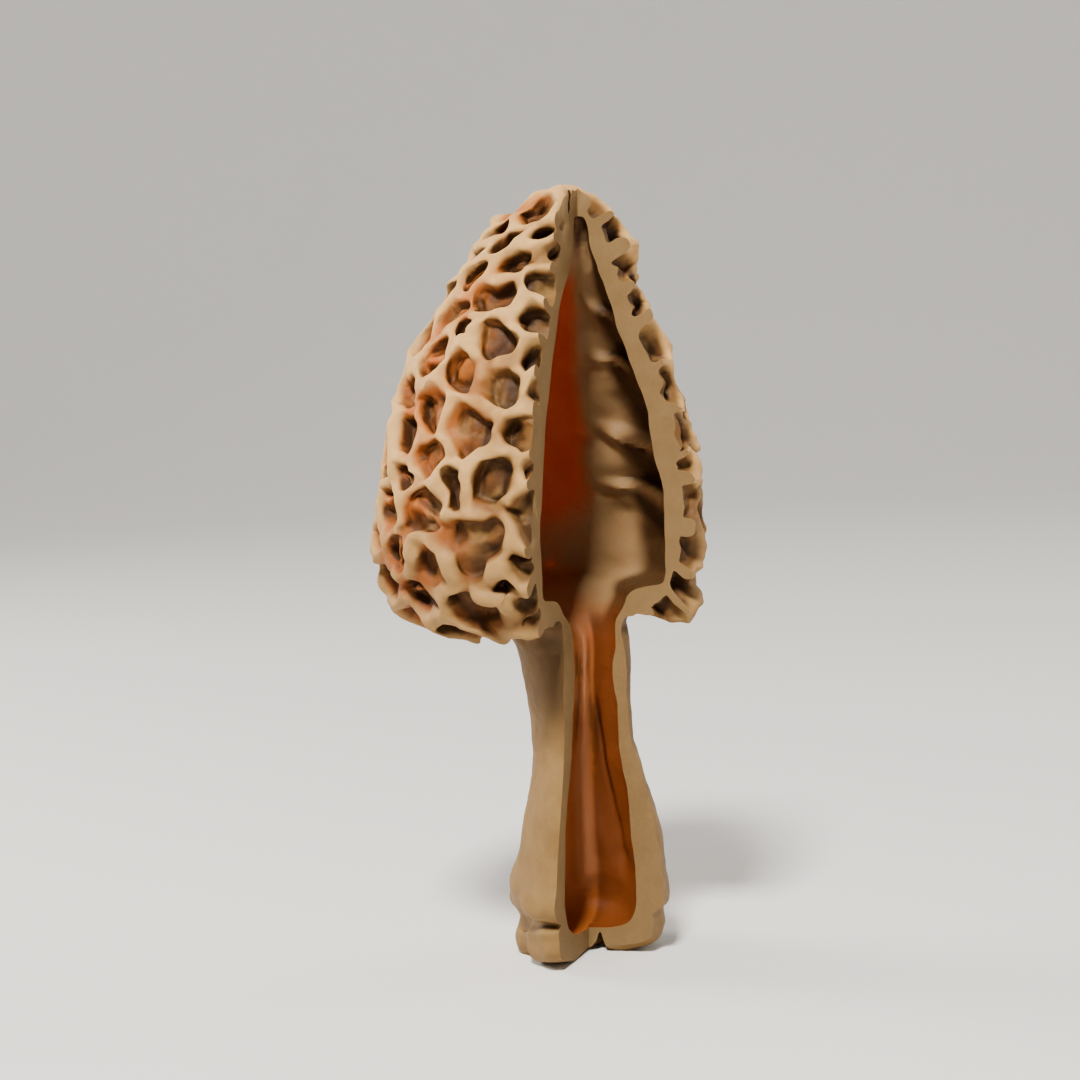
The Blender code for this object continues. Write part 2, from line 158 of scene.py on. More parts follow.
# The low ridges across pits, as shares of a ridge's height.
FOLD_HEIGHT = (0.3, 0.7)
# The ridges turn ragged between these lengths along the skin, and then hang down this far, in mm.
RAGGED_START = (46.0, 64.0)
DROOP = 0.7

# The lobes of the foot, and the creases between them, in mm.
LOBES = 5
LOBE_SWELL = 0.8
LOBE_TURN = 0.38
CREASE_DEPTH = 1.3
# The groove above the lobes is deepest on this side.
GROOVE_TURN = math.radians(215)
# How far the net strays sideways, in mm.
WARP = 1.2
# A crack in the foot: (how far it is to the right of the corner, its half width) in mm.
CRACK = (2.3, 0.6)
CRACK_DEPTH = 2.8
# The shelves in the cap's hollow, in mm: (height, how far it stands in, how tall the pocket above it is).
SHELVES = [(72.8, 2.0, 5.0), (82.0, 2.4, 8.5), (95.0, 1.9, 5.0), (103.4, 1.2, 4.0)]
POCKET_DEPTH = 1.5
# The pillows and creases beside them, in mm: (height, half height, how far outwards).
PILLOWS = [
    (77.0, 2.8, -1.7), (88.0, 4.6, -2.3), (98.0, 2.6, -1.0), (106.0, 3.0, -1.4), (80.5, 1.1, 1.1),
    (71.6, 1.1, 0.9), (100.8, 1.2, 0.9), (93.6, 1.0, 0.8),
]
# Flesh within this reach of a point shelters it, and the more it is closed in, the darker its painted shade.
# The rays start a little off the flesh, and don't graze it.
OCCLUSION_REACH = 6.0 * MM
CLEAR_OF_FLESH = 0.12 * MM
GRAZING = 0.2
# How dark the painted shade is in the deepest part of a pit, and how strongly the thin side shines with
# painted light, as if light came through it.
PIT_SHADE = 0.3
EMITTED_GLOW = 0.05
# The heights between which the look of the stem turns into the cap's, outside and in the hollow, in metres.
CAP_STARTS = (0.050, 0.056)
HOLLOW_CAP_STARTS = (0.050, 0.059)
# Further from the middle of the foot than this, in mm, its underside rises by this slope.
BEARING_RIGHT, BEARING_FRONT = 2.0, 3.0
UPTURN_RIGHT, UPTURN_FRONT = 0.24, 0.42

# Heights in mm between which these fade in and out.
FLUTED = (8, 20, 46, 54)
IN_CAP = (62, 68, 106, 112)
IN_STEM = (6, 12, 50, 57)
CREASED = (10, 16, 37, 43)
# The next two bound painted shade on the low part of the cap, and the cap's painted shadow on the top of the
# stem.
SKIRT_SHADE = (46, 52, 58, 88)
CAP_SHADOW = (32, 44, 52, 56)
# Turns in degrees round the hollow between which its thin side, painted reddish as if lit through the wall,
# and its side in painted shade fade in and out.
PAINTED_GLOW_SIDE = (54, 84, 235, 265)
PAINTED_SHADE_SIDE = (-70, -50, 66, 82)

# The camera looks at a point this high and this far left of the corner, in metres.
TARGET_HEIGHT = 0.0673
TARGET_ASIDE = 0.0068
CAMERA_ROLL = math.radians(1.0)
LENS_MM, SENSOR_MM, NEAREST = 75, 36, 0.01
# (name, direction from the target as back to the camera, right and up, distance, size, power, tint).
LIGHTS = [
    ("key", (0.65, -0.15, 0.745), 0.8, 0.14, 16.0, (1.0, 0.97, 0.92)),
    ("left_rim", (-0.4, -1.0, 0.5), 0.7, 0.3, 5.0, (1.0, 0.95, 0.9)),
    ("right_rim", (-0.3, 0.95, 0.4), 0.8, 0.3, 2.0, (1.0, 0.97, 0.94)),
]
# The wall round the floor: the radius of its curve, how tall it is and how far it leans out.
WALL_CURVE, WALL_TOP, WALL_OUT = 0.8, 1.6, 0.85
# The point that its own light faces is this far behind and down, and the light's distance, size and power.
WALL_AHEAD, WALL_DROP = 1.3, 0.07
WALL_LIGHT = (1.3, 1.8, 9.0)
WORLD_STRENGTH = 0.06


def spread(points, per_step=10):
    """A smooth curve through points, with per_step points for each stretch (Catmull-Rom)."""
    p = np.array(points, float)
    p = np.vstack([2 * p[0] - p[1], p, 2 * p[-1] - p[-2]])
    t = np.linspace(0.0, 1.0, per_step, endpoint=False)[:, None]
    made = [
        0.5 * (2 * b + (c - a) * t + (2 * a - 5 * b + 4 * c - d) * t**2 + (3 * b - a - 3 * c + d) * t**3)
        for a, b, c, d in zip(p, p[1:], p[2:], p[3:])
    ]
    return np.vstack(made + [p[-2][None]])


SKIN_LINE = spread(SKIN)
SKIN_LINE[:, 0] = np.maximum(SKIN_LINE[:, 0], 0.0)
SKIN_LENGTH = np.concatenate([[0.0], np.cumsum(np.linalg.norm(np.diff(SKIN_LINE, axis=0), axis=1))])
SKIN_RUN = np.gradient(SKIN_LINE, SKIN_LENGTH, axis=0)
SKIN_MIDDLE_LINE = spread(SKIN_MIDDLE)
HOLLOW_MIDDLE_LINE = spread(HOLLOW_MIDDLE)


def skin_at(length):
    """(radius, height, outward slope of radius, outward slope of height) of the skin, in mm."""
    radius, height = (np.interp(length, SKIN_LENGTH, SKIN_LINE[:, i]) for i in (0, 1))
    run_r, run_z = (np.interp(length, SKIN_LENGTH, SKIN_RUN[:, i]) for i in (0, 1))
    size = math.hypot(run_r, run_z) or 1.0
    return radius, height, -run_z / size, run_r / size


def cell_width(length):
    """How wide the cells are at that length along the skin, in mm."""
    return np.interp(length, *np.transpose(CELL_WIDTH))


def smooth_step(value, low, high):
    """0 up to low and 1 from high, smoothly."""
    t = np.clip((value - low) / (high - low), 0.0, 1.0)
    return t * t * (3 - 2 * t)


def bell(value, middle, width):
    """1 at middle, and falling off towards 0 over about width on both sides."""
    return np.exp(-(((value - middle) / width) ** 2))


def plateau(value, fade_in, full, hold, fade_out, tall=1.0):
    """Rises from 0 to tall between fade_in and full, and falls again between hold and fade_out."""
    return tall * smooth_step(value, fade_in, full) * (1 - smooth_step(value, hold, fade_out))


def turn_from(turn, middle):
    """The signed turn from middle to turn, from -pi to pi."""
    return (turn - middle + math.pi) % (2 * math.pi) - math.pi


def placed(turn, radius, height, middle_line):
    """The points at those turns and radii round the middle of each level, in metres, as rows."""
    along, across, share = (np.interp(height, middle_line[:, 0], middle_line[:, i]) for i in (1, 2, 3))
    from_middle = radius * np.cos(turn)
    slope = plateau(height, *RIM_SLOPE_HEIGHTS, RIM_SLOPE)
    along = along + from_middle
    across = across + radius * np.sin(turn) * share
    up = height + slope * from_middle
    grown = along[:, None] * np.array(LEAN) + across[:, None] * np.array(ACROSS)
    grown[:, 2] += up
    return np.array(CORNER) + grown @ np.array(STAND).T * MM


def face_turn(direction, length):
    """The turn at which the cut face that runs that way from the corner meets the skin, at that length."""
    radius, height, _, _ = skin_at(length)
    along, across, share = (
        np.interp(height, SKIN_MIDDLE_LINE[:, 0], SKIN_MIDDLE_LINE[:, i]) for i in (1, 2, 3)
    )
    start = Vector((-along, -across / share))
    run = Vector((direction.dot(LEAN), direction.dot(ACROSS) / share)).normalized()
    towards = start.dot(run)
    at = start + run * (math.sqrt(towards**2 + radius**2 - start.length_squared) - towards)
    return math.atan2(at.y, at.x) % (2 * math.pi)


def apart(one, other):
    """How far two places on the skin are from each other, in mm. Each is (turn, length)."""
    return math.hypot(turn_from(one[0], other[0]) * skin_at(one[1])[0], one[1] - other[1])


def seeds():
    """The middles of the cells, as (turn, length): two stacks, then a golden-angle winding with stray."""
    stacks = [(Vector((1, 0, 0)), RIGHT_FACE_CELLS), (Vector((0, -1, 0)), LEFT_FACE_CELLS)]
    stacked = [(face_turn(direction, length), length) for direction, stack in stacks for length in stack]
    draw = random.Random(NET_SEED)
    lengths = np.linspace(0.0, SKIN_LENGTH[-1], 4000)
    radii = np.interp(lengths, SKIN_LENGTH, SKIN_LINE[:, 0])
    widths = np.array([cell_width(x) for x in lengths])
    rate = 2 * math.pi * radii / widths**2
    counts = np.concatenate([[0.0], np.cumsum((rate[1:] + rate[:-1]) / 2 * np.diff(lengths))])
    golden = math.pi * (3 - math.sqrt(5))
    found = []
    for k in range(LEFT_OUT[0], int(counts[-1]) - LEFT_OUT[1]):
        length = float(np.interp(k + 0.5, counts, lengths))
        radius = max(1.0, skin_at(length)[0])
        stray = cell_width(length) * (CELL_SHIFT if length < RIDGE_END[1] else PLAIN_SHIFT)
        turn = (k * golden + draw.uniform(-stray, stray) / radius) % (2 * math.pi)
        length += draw.uniform(-stray, stray)
        clearance = FACE_CLEARANCE * cell_width(length)
        if all(apart((turn, length), other) > clearance for other in stacked):
            found.append((turn, length))
    return stacked + found


def flat_heights():
    """(lengths, heights): the height of each length when the skin is unrolled so that angles are kept."""
    lengths = np.linspace(1.2, SKIN_LENGTH[-1] - 1.2, 3000)
    radii = np.maximum(np.interp(lengths, SKIN_LENGTH, SKIN_LINE[:, 0]), 0.4)
    heights = np.concatenate([[0.0], np.cumsum(np.diff(lengths) / ((radii[1:] + radii[:-1]) / 2))])
    return lengths, heights


def net():
    """(corners, cells). A corner is (turn, length), and a cell is (its corners' numbers, its middle)."""
    lengths, heights = flat_heights()
    middles = seeds()
    flat = [(turn, float(np.interp(length, lengths, heights))) for turn, length in middles]
    past_ends = [
        (2 * math.pi * i / TIP_ROW, edge)
        for edge in (heights[0] - PAST_END, heights[-1] + PAST_END)
        for i in range(TIP_ROW)
    ]
    points, owner = [], []
    for i, (turn, height) in enumerate(flat + past_ends):
        for shift in (-2 * math.pi, 0.0, 2 * math.pi):
            if -SEAM_MARGIN < turn + shift < 2 * math.pi + SEAM_MARGIN:
                points.append(Vector((turn + shift, height)))
                owner.append(i)
    spots, _, triangles, sources, _, _ = delaunay_2d_cdt(points, [], [], 0, 1e-9)
    owner = [owner[source[0]] for source in sources]
    corners, number, around = [], {}, {}
    for triangle in triangles:
        key = tuple(sorted(owner[v] for v in triangle))
        if len(set(key)) < 3 or key[0] >= len(flat):
            continue
        spot = sum((spots[v] for v in triangle), Vector((0.0, 0.0))) / 3
        if key not in number:
            number[key] = len(corners)
            corners.append((spot.x % (2 * math.pi), float(np.interp(spot.y, heights, lengths))))
        for v in triangle:
            if 0 <= spots[v].x < 2 * math.pi and owner[v] < len(flat):
                away = spot - spots[v]
                around.setdefault(owner[v], {})[number[key]] = math.atan2(away.y, away.x)
    return corners, [(sorted(loop, key=loop.get), middles[i]) for i, loop in sorted(around.items())]


def ridge_shares(corners):
    """The ridge's height at each corner, as a share of the full height. It fades out under the rim."""
    draw = random.Random(NET_SEED + 1)
    found = []
    for _, length in corners:
        share = draw.uniform(*FULL_RIDGE) if draw.random() < FULL_RIDGE_CHANCE else draw.uniform(*LOW_RIDGE)
        fade = 1 - smooth_step(length, *RIDGE_END)
        found.append(share * fade * (1 + RIM_RIDGE * smooth_step(length, *RIM_RIDGE_START)))
    return found


class Spot:
    """A place on the round, unbent skin: its point and outward direction, in mm."""

    def __init__(self, turn, length):
        radius, height, out_r, out_z = skin_at(length)
        self.turn, self.length = turn, length
        self.point = Vector((radius * math.cos(turn), radius * math.sin(turn), height))
        self.out = Vector((out_r * math.cos(turn), out_r * math.sin(turn), out_z))
        self.aside = Vector((-math.sin(turn), math.cos(turn), 0.0))
        self.down = self.aside.cross(self.out)


def between(a, b, aside):
    """The spot half-way between corners a and b, moved sideways by that share of their distance."""
    d_turn, d_length = turn_from(b[0], a[0]), b[1] - a[1]
    radius = max(0.6, skin_at((a[1] + b[1]) / 2)[0])
    turn = a[0] + d_turn / 2 - aside * d_length / radius
    length = (a[1] + b[1]) / 2 + aside * d_turn * radius
    return Spot(turn, max(0.0, length))


def inset_ring(points, middle, out, distances):
    """The ring of points moved in from each side of the cell by its own distance, corners rounded."""
    moved = []
    count = len(points)
    for i in range(count):
        before, here, after = points[i - 1], points[i], points[(i + 1) % count]
        normals = []
        for a, b in ((before, here), (here, after)):
            normal = out.cross(b - a)
            if normal.dot(middle - here) < 0:
                normal = -normal
            normals.append(normal.normalized())
        bisector = (normals[0] + normals[1]).normalized()
        inward = (middle - here).normalized()
        reach = (middle - here).length
        step = min(distances[i] / max(0.7, bisector.dot(normals[0])), 0.7 * reach)
        moved.append(here + (bisector + inward * ROUNDING).normalized() * step)
    return moved


class Ridge:
    """A ridge where it stands on one spot of the net: how high, how thick, and which way it leans."""

    def __init__(self, draw, spot, share, thickness):
        ragged = smooth_step(spot.length, *RAGGED_START)
        self.spot = spot
        self.share = share * (1 + ragged * draw.uniform(-0.3, 0.15))
        self.thickness = thickness * draw.uniform(0.9 - 0.15 * ragged, 1.1 + 0.2 * ragged)
        stray = 0.28 + 0.55 * ragged
        self.lean = spot.aside * draw.uniform(-stray, stray) + spot.down * draw.uniform(-stray, stray)
        self.lean += spot.down * DROOP * ragged

    def top(self, tall):
        return self.spot.point + self.spot.out * (tall * self.share) + self.lean * min(1.0, self.share)


def ridges_of(draw, corners, cells, shares):
    """(ridges at the corners, ridges at the middle of each side of a cell)."""
    at_corners = [
        Ridge(draw, Spot(*corner), share, draw.uniform(1.0, 1.35)) for corner, share in zip(corners, shares)
    ]
    at_sides = {}
    edges = sorted({tuple(sorted(pair)) for loop, _ in cells for pair in zip(loop, loop[1:] + loop[:1])})
    for a, b in edges:
        ragged = smooth_step((corners[a][1] + corners[b][1]) / 2, *RAGGED_START)
        aside = draw.uniform(-0.12, 0.12) * (1 + ragged)
        sag = draw.uniform(0.84, 0.98)
        if draw.random() < 0.06 + 0.22 * ragged:
            sag = draw.uniform(0.35, 0.65)
        share = (shares[a] + shares[b]) / 2 * sag
        at_sides[a, b] = Ridge(draw, between(corners[a], corners[b], aside), share, draw.uniform(0.75, 1.05))
    return at_corners, at_sides


def skin_cage(size):
    """The cage of the outer skin, on the round profile, in mm: (vertices, faces)."""
    corners, cells = net()
    draw = random.Random(size.seed)
    tall = size.ridge_height / MM
    half = size.ridge_thickness / MM / 2
    at_corners, at_sides = ridges_of(draw, corners, cells, ridge_shares(corners))
    verts, faces = [], []

    def add(point):
        verts.append(point)
        return len(verts) - 1

    tops = [add(ridge.top(tall)) for ridge in at_corners]
    side_tops = {key: add(ridge.top(tall)) for key, ridge in at_sides.items()}
    for loop, middle in cells:
        ring, crest = [], []
        for a, b in zip(loop, loop[1:] + loop[:1]):
            key = tuple(sorted((a, b)))
            ring += [at_corners[a], at_sides[key]]
            crest += [tops[a], side_tops[key]]
        centre = Spot(*middle)
        if sum(ridge.share for ridge in ring) < 0.16 * len(ring):
            heart = add(centre.point)
            for i in range(0, len(ring), 2):
                faces.append((crest[i - 1], crest[i], crest[(i + 1) % len(crest)], heart))
            continue
        ragged = smooth_step(middle[1], *RAGGED_START)
        thick = []
        for i, ridge in enumerate(ring):
            spur = draw.uniform(1.7, 2.5) if i % 2 and draw.random() < 0.1 + 0.2 * ragged else 1.0
            thick.append(half * ridge.thickness * draw.uniform(0.92, 1.08) * spur)
        points = [ridge.spot.point for ridge in ring]
        reach = sum((p - centre.point).length for p in points) / len(points)
        # A wide pit is parted by a low ridge across its floor, and so are some of the others.
        chance = 0.6 if reach > WIDE_PIT else 0.12 + 0.3 * ragged
        hump = tall * draw.uniform(*FOLD_HEIGHT) if draw.random() < chance else 0.0
        hump_turn = draw.uniform(0, 2 * math.pi)
        rises = [
            hump * bell(math.sin(2 * math.pi * i / len(ring) + hump_turn), 0, 0.4) for i in range(len(ring))
        ]
        rings = []
        for inwards, height, beyond in PIT_RINGS:
            moved = inset_ring(points, centre.point, centre.out, [t * inwards + beyond for t in thick])
            made = []
            for p, r, rise in zip(moved, ring, rises):
                up = max(tall * r.share * height, rise * (height < 0.1))
                made.append(add(
                    p + r.spot.out * up + r.spot.out * FLOOR_RISE + r.lean * min(1.0, r.share) * height
                ))
            rings.append(made)
        floor = []
        for p, rise in zip(moved, rises):
            up = rise * 0.85 + draw.uniform(0, 0.3)
            floor.append(add(p.lerp(centre.point, FLOOR_INSET) + centre.out * up))
        rings.append(floor)
        outer = crest
        for inner in rings:
            for i in range(len(outer)):
                j = (i + 1) % len(outer)
                faces.append((outer[i], outer[j], inner[j], inner[i]))
            outer = inner
        heart = add(centre.point + centre.out * hump * 0.85)
        for i in range(0, len(floor), 2):
            faces.append((floor[i - 1], floor[i], floor[(i + 1) % len(floor)], heart))
    return verts, faces


def lobe(turn):
    """1 in the middle of a lobe of the base, and -1 in the crease between two."""
    return np.sin(LOBES * turn + LOBE_TURN + 0.5 * np.sin(turn))


def swell(turn, height):
    """How far the stem's flutes and the foot's lobes stand out, in mm."""
    flutes = plateau(height, *FLUTED, 0.35 * np.sin(3 * turn + 0.6))
    return flutes + LOBE_SWELL * lobe(turn) * (1 - smooth_step(height, 6, 14))


def lift(turn, radius, height):
    """How far the underside of the foot rises in its creases and at its edge, in mm."""
    creases = CREASE_DEPTH * smooth_step(-lobe(turn), 0.2, 1.0) * smooth_step(radius, 1, 6)
    right = UPTURN_RIGHT * np.maximum(0.0, radius * np.cos(turn) - BEARING_RIGHT)
    front = UPTURN_FRONT * np.maximum(0.0, -radius * np.sin(turn) - BEARING_FRONT)
    upturn = (right + front) * smooth_step(radius, 2, 8)
    return creases * (1 - smooth_step(height, 2.5, 4.5)) + upturn * (1 - smooth_step(height, 3, 9))


def lumps(points, scale, amount, seed):
    """A soft random push for each point, in mm. scale is the size of a lump, in mm."""
    shift = Vector((seed * 17.3, seed * 5.1, seed * 29.7))
    return np.array([noise.noise(Vector(p) / scale + shift) for p in points]) * amount


def shifts(points, scale, amount, seed):
    """A soft random shift of each point in all three directions, in mm."""
    return np.column_stack([lumps(points, scale, amount, seed + axis) for axis in range(3)])


def base_folds(turn, height):
    """The groove under the bulb at the foot, and the lip below it, in mm outwards."""
    wavy = height - 0.7 * np.sin(2 * turn + 0.4)
    leftness = bell(turn_from(turn, GROOVE_TURN), 0, 1.3)
    return leftness * (0.6 * bell(wavy, 11.0, 2.8) - 1.1 * bell(wavy, 6.0, 1.7) + 0.6 * bell(wavy, 3.0, 1.3))


def bend_skin(coords):
    """Gives the round skin its flutes, lobes, lumps and lean. coords are rows in mm."""
    on_stem = 1 - smooth_step(coords[:, 2], 48, 56)
    stray = shifts(coords, 4.6, WARP, 6) + shifts(coords, 1.9, WARP * 0.3, 9)
    coords = coords + stray * (1 - 0.85 * on_stem)[:, None]
    turn = np.arctan2(coords[:, 1], coords[:, 0])
    radius = np.hypot(coords[:, 0], coords[:, 1])
    height = coords[:, 2]
    soft = lumps(coords, 9.0, 0.5, 1) * on_stem + lumps(coords, 1.7, 0.25, 2) * (1 - 0.6 * on_stem)
    soft += lumps(coords, 4.0, 0.9, 3) * (1 - smooth_step(height, 8, 16))
    soft += base_folds(turn, height)
    wide = radius + (swell(turn, height) + soft) * np.minimum(1.0, radius / 8)
    up = height + lift(turn, radius, height)
    made = placed(turn, wide, up, SKIN_MIDDLE_LINE)
    from_corner = (made - np.array(CORNER)) / MM
    across_crack = from_corner[:, 0] + 0.5 * np.sin(1.3 * made[:, 2] / MM) + lumps(coords, 3.0, 0.8, 12)
    crack = bell(across_crack, *CRACK) * smooth_step(-from_corner[:, 1], -6, 0)
    made[:, 2] += CRACK_DEPTH * crack * (1 - smooth_step(height, 1.0, 3.0)) * MM
    return made


def on_band(degrees, height):
    """1 on the pale rib that runs up the back of the stem's hollow, fading to 0 beside it."""
    return bell(degrees, 92 + (height - 30) * 0.2, 15) * smooth_step(height, 5, 12)


def hollow_push(turn, height):
    """How far the hollow's wall is pushed out, in mm: shelves and pockets in the cap, folds in the stem."""
    degrees = np.degrees(turn)
    in_cap = plateau(height, *IN_CAP)
    in_stem = plateau(height, *IN_STEM)
    clear_of_cut = smooth_step(degrees, -16, 8)
    wavy = height - 0.06 * (degrees - 35) + 0.5 * np.sin(4 * turn + 0.3 * height)
    push = 0.35 * np.sin(5 * turn + 0.08 * height) * np.sin(0.42 * height + 1.5 * np.sin(2 * turn))
    on_shelf = clear_of_cut * (1 - smooth_step(degrees, 44, 66))
    in_pocket = bell(degrees, 32, 20) * clear_of_cut
    for at, deep, tall in SHELVES:
        above = wavy - at
        push -= deep * (1 - smooth_step(above, 0.0, 2.6)) * smooth_step(above, -5.0, -0.2) * on_shelf
        push += plateau(above, 0.2, 1.8, tall - 3, tall, POCKET_DEPTH) * in_pocket
    for at, width, deep in PILLOWS:
        push += deep * bell(wavy, at, width) * bell(degrees, 57, 17)
    folds = 0.4 * np.sin(3 * turn + 0.9 + 0.02 * height) + 0.2 * np.sin(5 * turn)
    band = -2.0 * on_band(degrees, height)
    crease = 1.4 * bell(degrees, 72 - (39 - height) * 1.2, 9)
    crease *= plateau(height, *CREASED)
    return in_cap * push + in_stem * (folds + band + crease)


def bend_hollow(coords):
    """Gives the round hollow its shelves, folds and lean. coords are rows in mm."""
    turn = np.arctan2(coords[:, 1], coords[:, 0])
    radius = np.hypot(coords[:, 0], coords[:, 1])
    height = coords[:, 2]
    soft = lumps(coords, 6.0, 0.5, 4) + lumps(coords, 2.5, 0.15, 5)
    pushed = radius + (hollow_push(turn, height) + soft) * np.minimum(1.0, radius / 4)
    return placed(turn, pushed, height, HOLLOW_MIDDLE_LINE)


def deselect():
    if bpy.context.object and bpy.context.object.mode != "OBJECT":
        bpy.ops.object.mode_set(mode="OBJECT")
    bpy.ops.object.select_all(action="DESELECT")


def picked(obj):
    """Makes obj the only selected and the active object."""
    deselect()
    obj.select_set(True)
    bpy.context.view_layer.objects.active = obj
    return obj


def apply_modifier(obj, kind, **settings):
    """Adds a modifier of that kind with those settings, and applies it."""
    picked(obj)
    modifier = obj.modifiers.new(kind.lower(), kind)
    for name, value in settings.items():
        setattr(modifier, name, value)
    bpy.ops.object.modifier_apply(modifier=modifier.name)


def mesh_object(name, verts, faces=(), edges=()):
    data = bpy.data.meshes.new(name)
    data.from_pydata([tuple(v) for v in verts], list(edges), list(faces))
    obj = bpy.data.objects.new(name, data)
    bpy.context.scene.collection.objects.link(obj)
    return picked(obj)


def coords_of(obj):
    coords = np.empty(len(obj.data.vertices) * 3)
    obj.data.vertices.foreach_get("co", coords)
    return coords.reshape(-1, 3)


def set_coords(obj, coords):
    obj.data.vertices.foreach_set("co", coords.ravel())
    obj.data.update()


def edit(obj, *steps):
    """Runs each step, which is an operator and its settings, on the whole of obj's mesh."""
    picked(obj)
    bpy.ops.object.mode_set(mode="EDIT")
    for operator, settings in steps:
        bpy.ops.mesh.select_all(action="SELECT")
        operator(**settings)
    bpy.ops.object.mode_set(mode="OBJECT")


def outer_skin(size):
    """The whole outer surface, pits and ridges included, as one closed mesh."""
    verts, faces = skin_cage(size)
    obj = mesh_object("morel_flesh", verts, faces)
    edit(obj, (bpy.ops.mesh.fill_holes, {"sides": 0}))
    edit(obj, (bpy.ops.mesh.normals_make_consistent, {"inside": False}))
    apply_modifier(obj, "SUBSURF", levels=size.detail, render_levels=size.detail)
    low, high = (np.array(corner) for corner in CAD_BOX)
    set_coords(obj, np.clip(bend_skin(coords_of(obj)), low, high))
    return obj


def spun(name, line, sides, joined, inside=False):
    """A new object: the line of (radius, height) spun round, with points closer than joined made one."""
    points = [(max(0.0, r), 0.0, z) for r, z in line]
    obj = mesh_object(name, points, edges=[(i, i + 1) for i in range(len(points) - 1)])
    whole_turn = {"steps": sides, "angle": 2 * math.pi, "center": (0, 0, 0), "axis": (0, 0, 1)}
    edit(obj, (bpy.ops.mesh.spin, whole_turn), (bpy.ops.mesh.remove_doubles, {"threshold": joined}))
    edit(obj, (bpy.ops.mesh.normals_make_consistent, {"inside": inside}))
    return obj


def hollow(size):
    """The hollow as a solid: its profile spun round, then pushed and leant to shape."""
    obj = spun("hollow", spread(HOLLOW, 9), size.hollow_steps, 0.001)
    set_coords(obj, bend_hollow(coords_of(obj)))
    return obj


def missing_quarter():
    """A box over the quarter that is cut away, with its inner edge on the corner line."""
    deselect()
    side, tall, below = 0.08, 0.16, 0.01
    at = CORNER + Vector((side / 2, -side / 2, tall / 2 - below))
    bpy.ops.mesh.primitive_cube_add(size=1, scale=(side, side, tall), location=at)
    obj = bpy.context.object
    obj.name = "missing_quarter"
    bpy.ops.object.transform_apply(location=True, rotation=False, scale=True)
    obj.data.transform(TIPPED)
    return obj


def cut_away(obj, cutter, material):
    """Takes the cutter out of obj. The new faces get the material."""
    cutter.data.materials.clear()
    cutter.data.materials.append(material)
    apply_modifier(
        obj, "BOOLEAN", operation="DIFFERENCE", object=cutter, solver="MANIFOLD", material_mode="TRANSFER"
    )
    bpy.data.objects.remove(cutter, do_unlink=True)


def unbent(coords, middle_line):
    """(turn, radius, height) of points of the finished mushroom, back on the round profile, in mm."""
    grown = (coords - np.array(CORNER)) / MM @ np.array(STAND)
    along, across, up = grown @ np.array(LEAN), grown @ np.array(ACROSS), grown[:, 2]
    height = up
    for _ in range(3):
        mid_along, mid_across, share = (
            np.interp(height, middle_line[:, 0], middle_line[:, i]) for i in (1, 2, 3)
        )
        height = up - plateau(height, *RIM_SLOPE_HEIGHTS, RIM_SLOPE) * (along - mid_along)
    turn = np.arctan2((across - mid_across) / share, along - mid_along)
    return turn, np.hypot(along - mid_along, (across - mid_across) / share), height


def occlusion_for_shade(obj, reach, rays=28):
    """How much of what each vertex faces is blocked by the flesh within reach, from 0 to 1; it sets the
    painted shade.
    """
    tree = BVHTree.FromObject(obj, bpy.context.evaluated_depsgraph_get())
    golden = math.pi * (3 - math.sqrt(5))
    directions = []
    for i in range(rays):
        up = 1 - (2 * i + 1) / rays
        flat = math.sqrt(1 - up * up)
        directions.append(Vector((flat * math.cos(i * golden), flat * math.sin(i * golden), up)))
    found = np.zeros(len(obj.data.vertices))
    for vertex in obj.data.vertices:
        start = vertex.co + vertex.normal * CLEAR_OF_FLESH
        tried = blocked = 0.0
        for direction in directions:
            facing = vertex.normal.dot(direction)
            if facing > GRAZING:
                tried += facing
                if tree.ray_cast(start, direction, reach)[0] is not None:
                    blocked += facing
        found[vertex.index] = blocked / max(tried, 0.1)
    return found


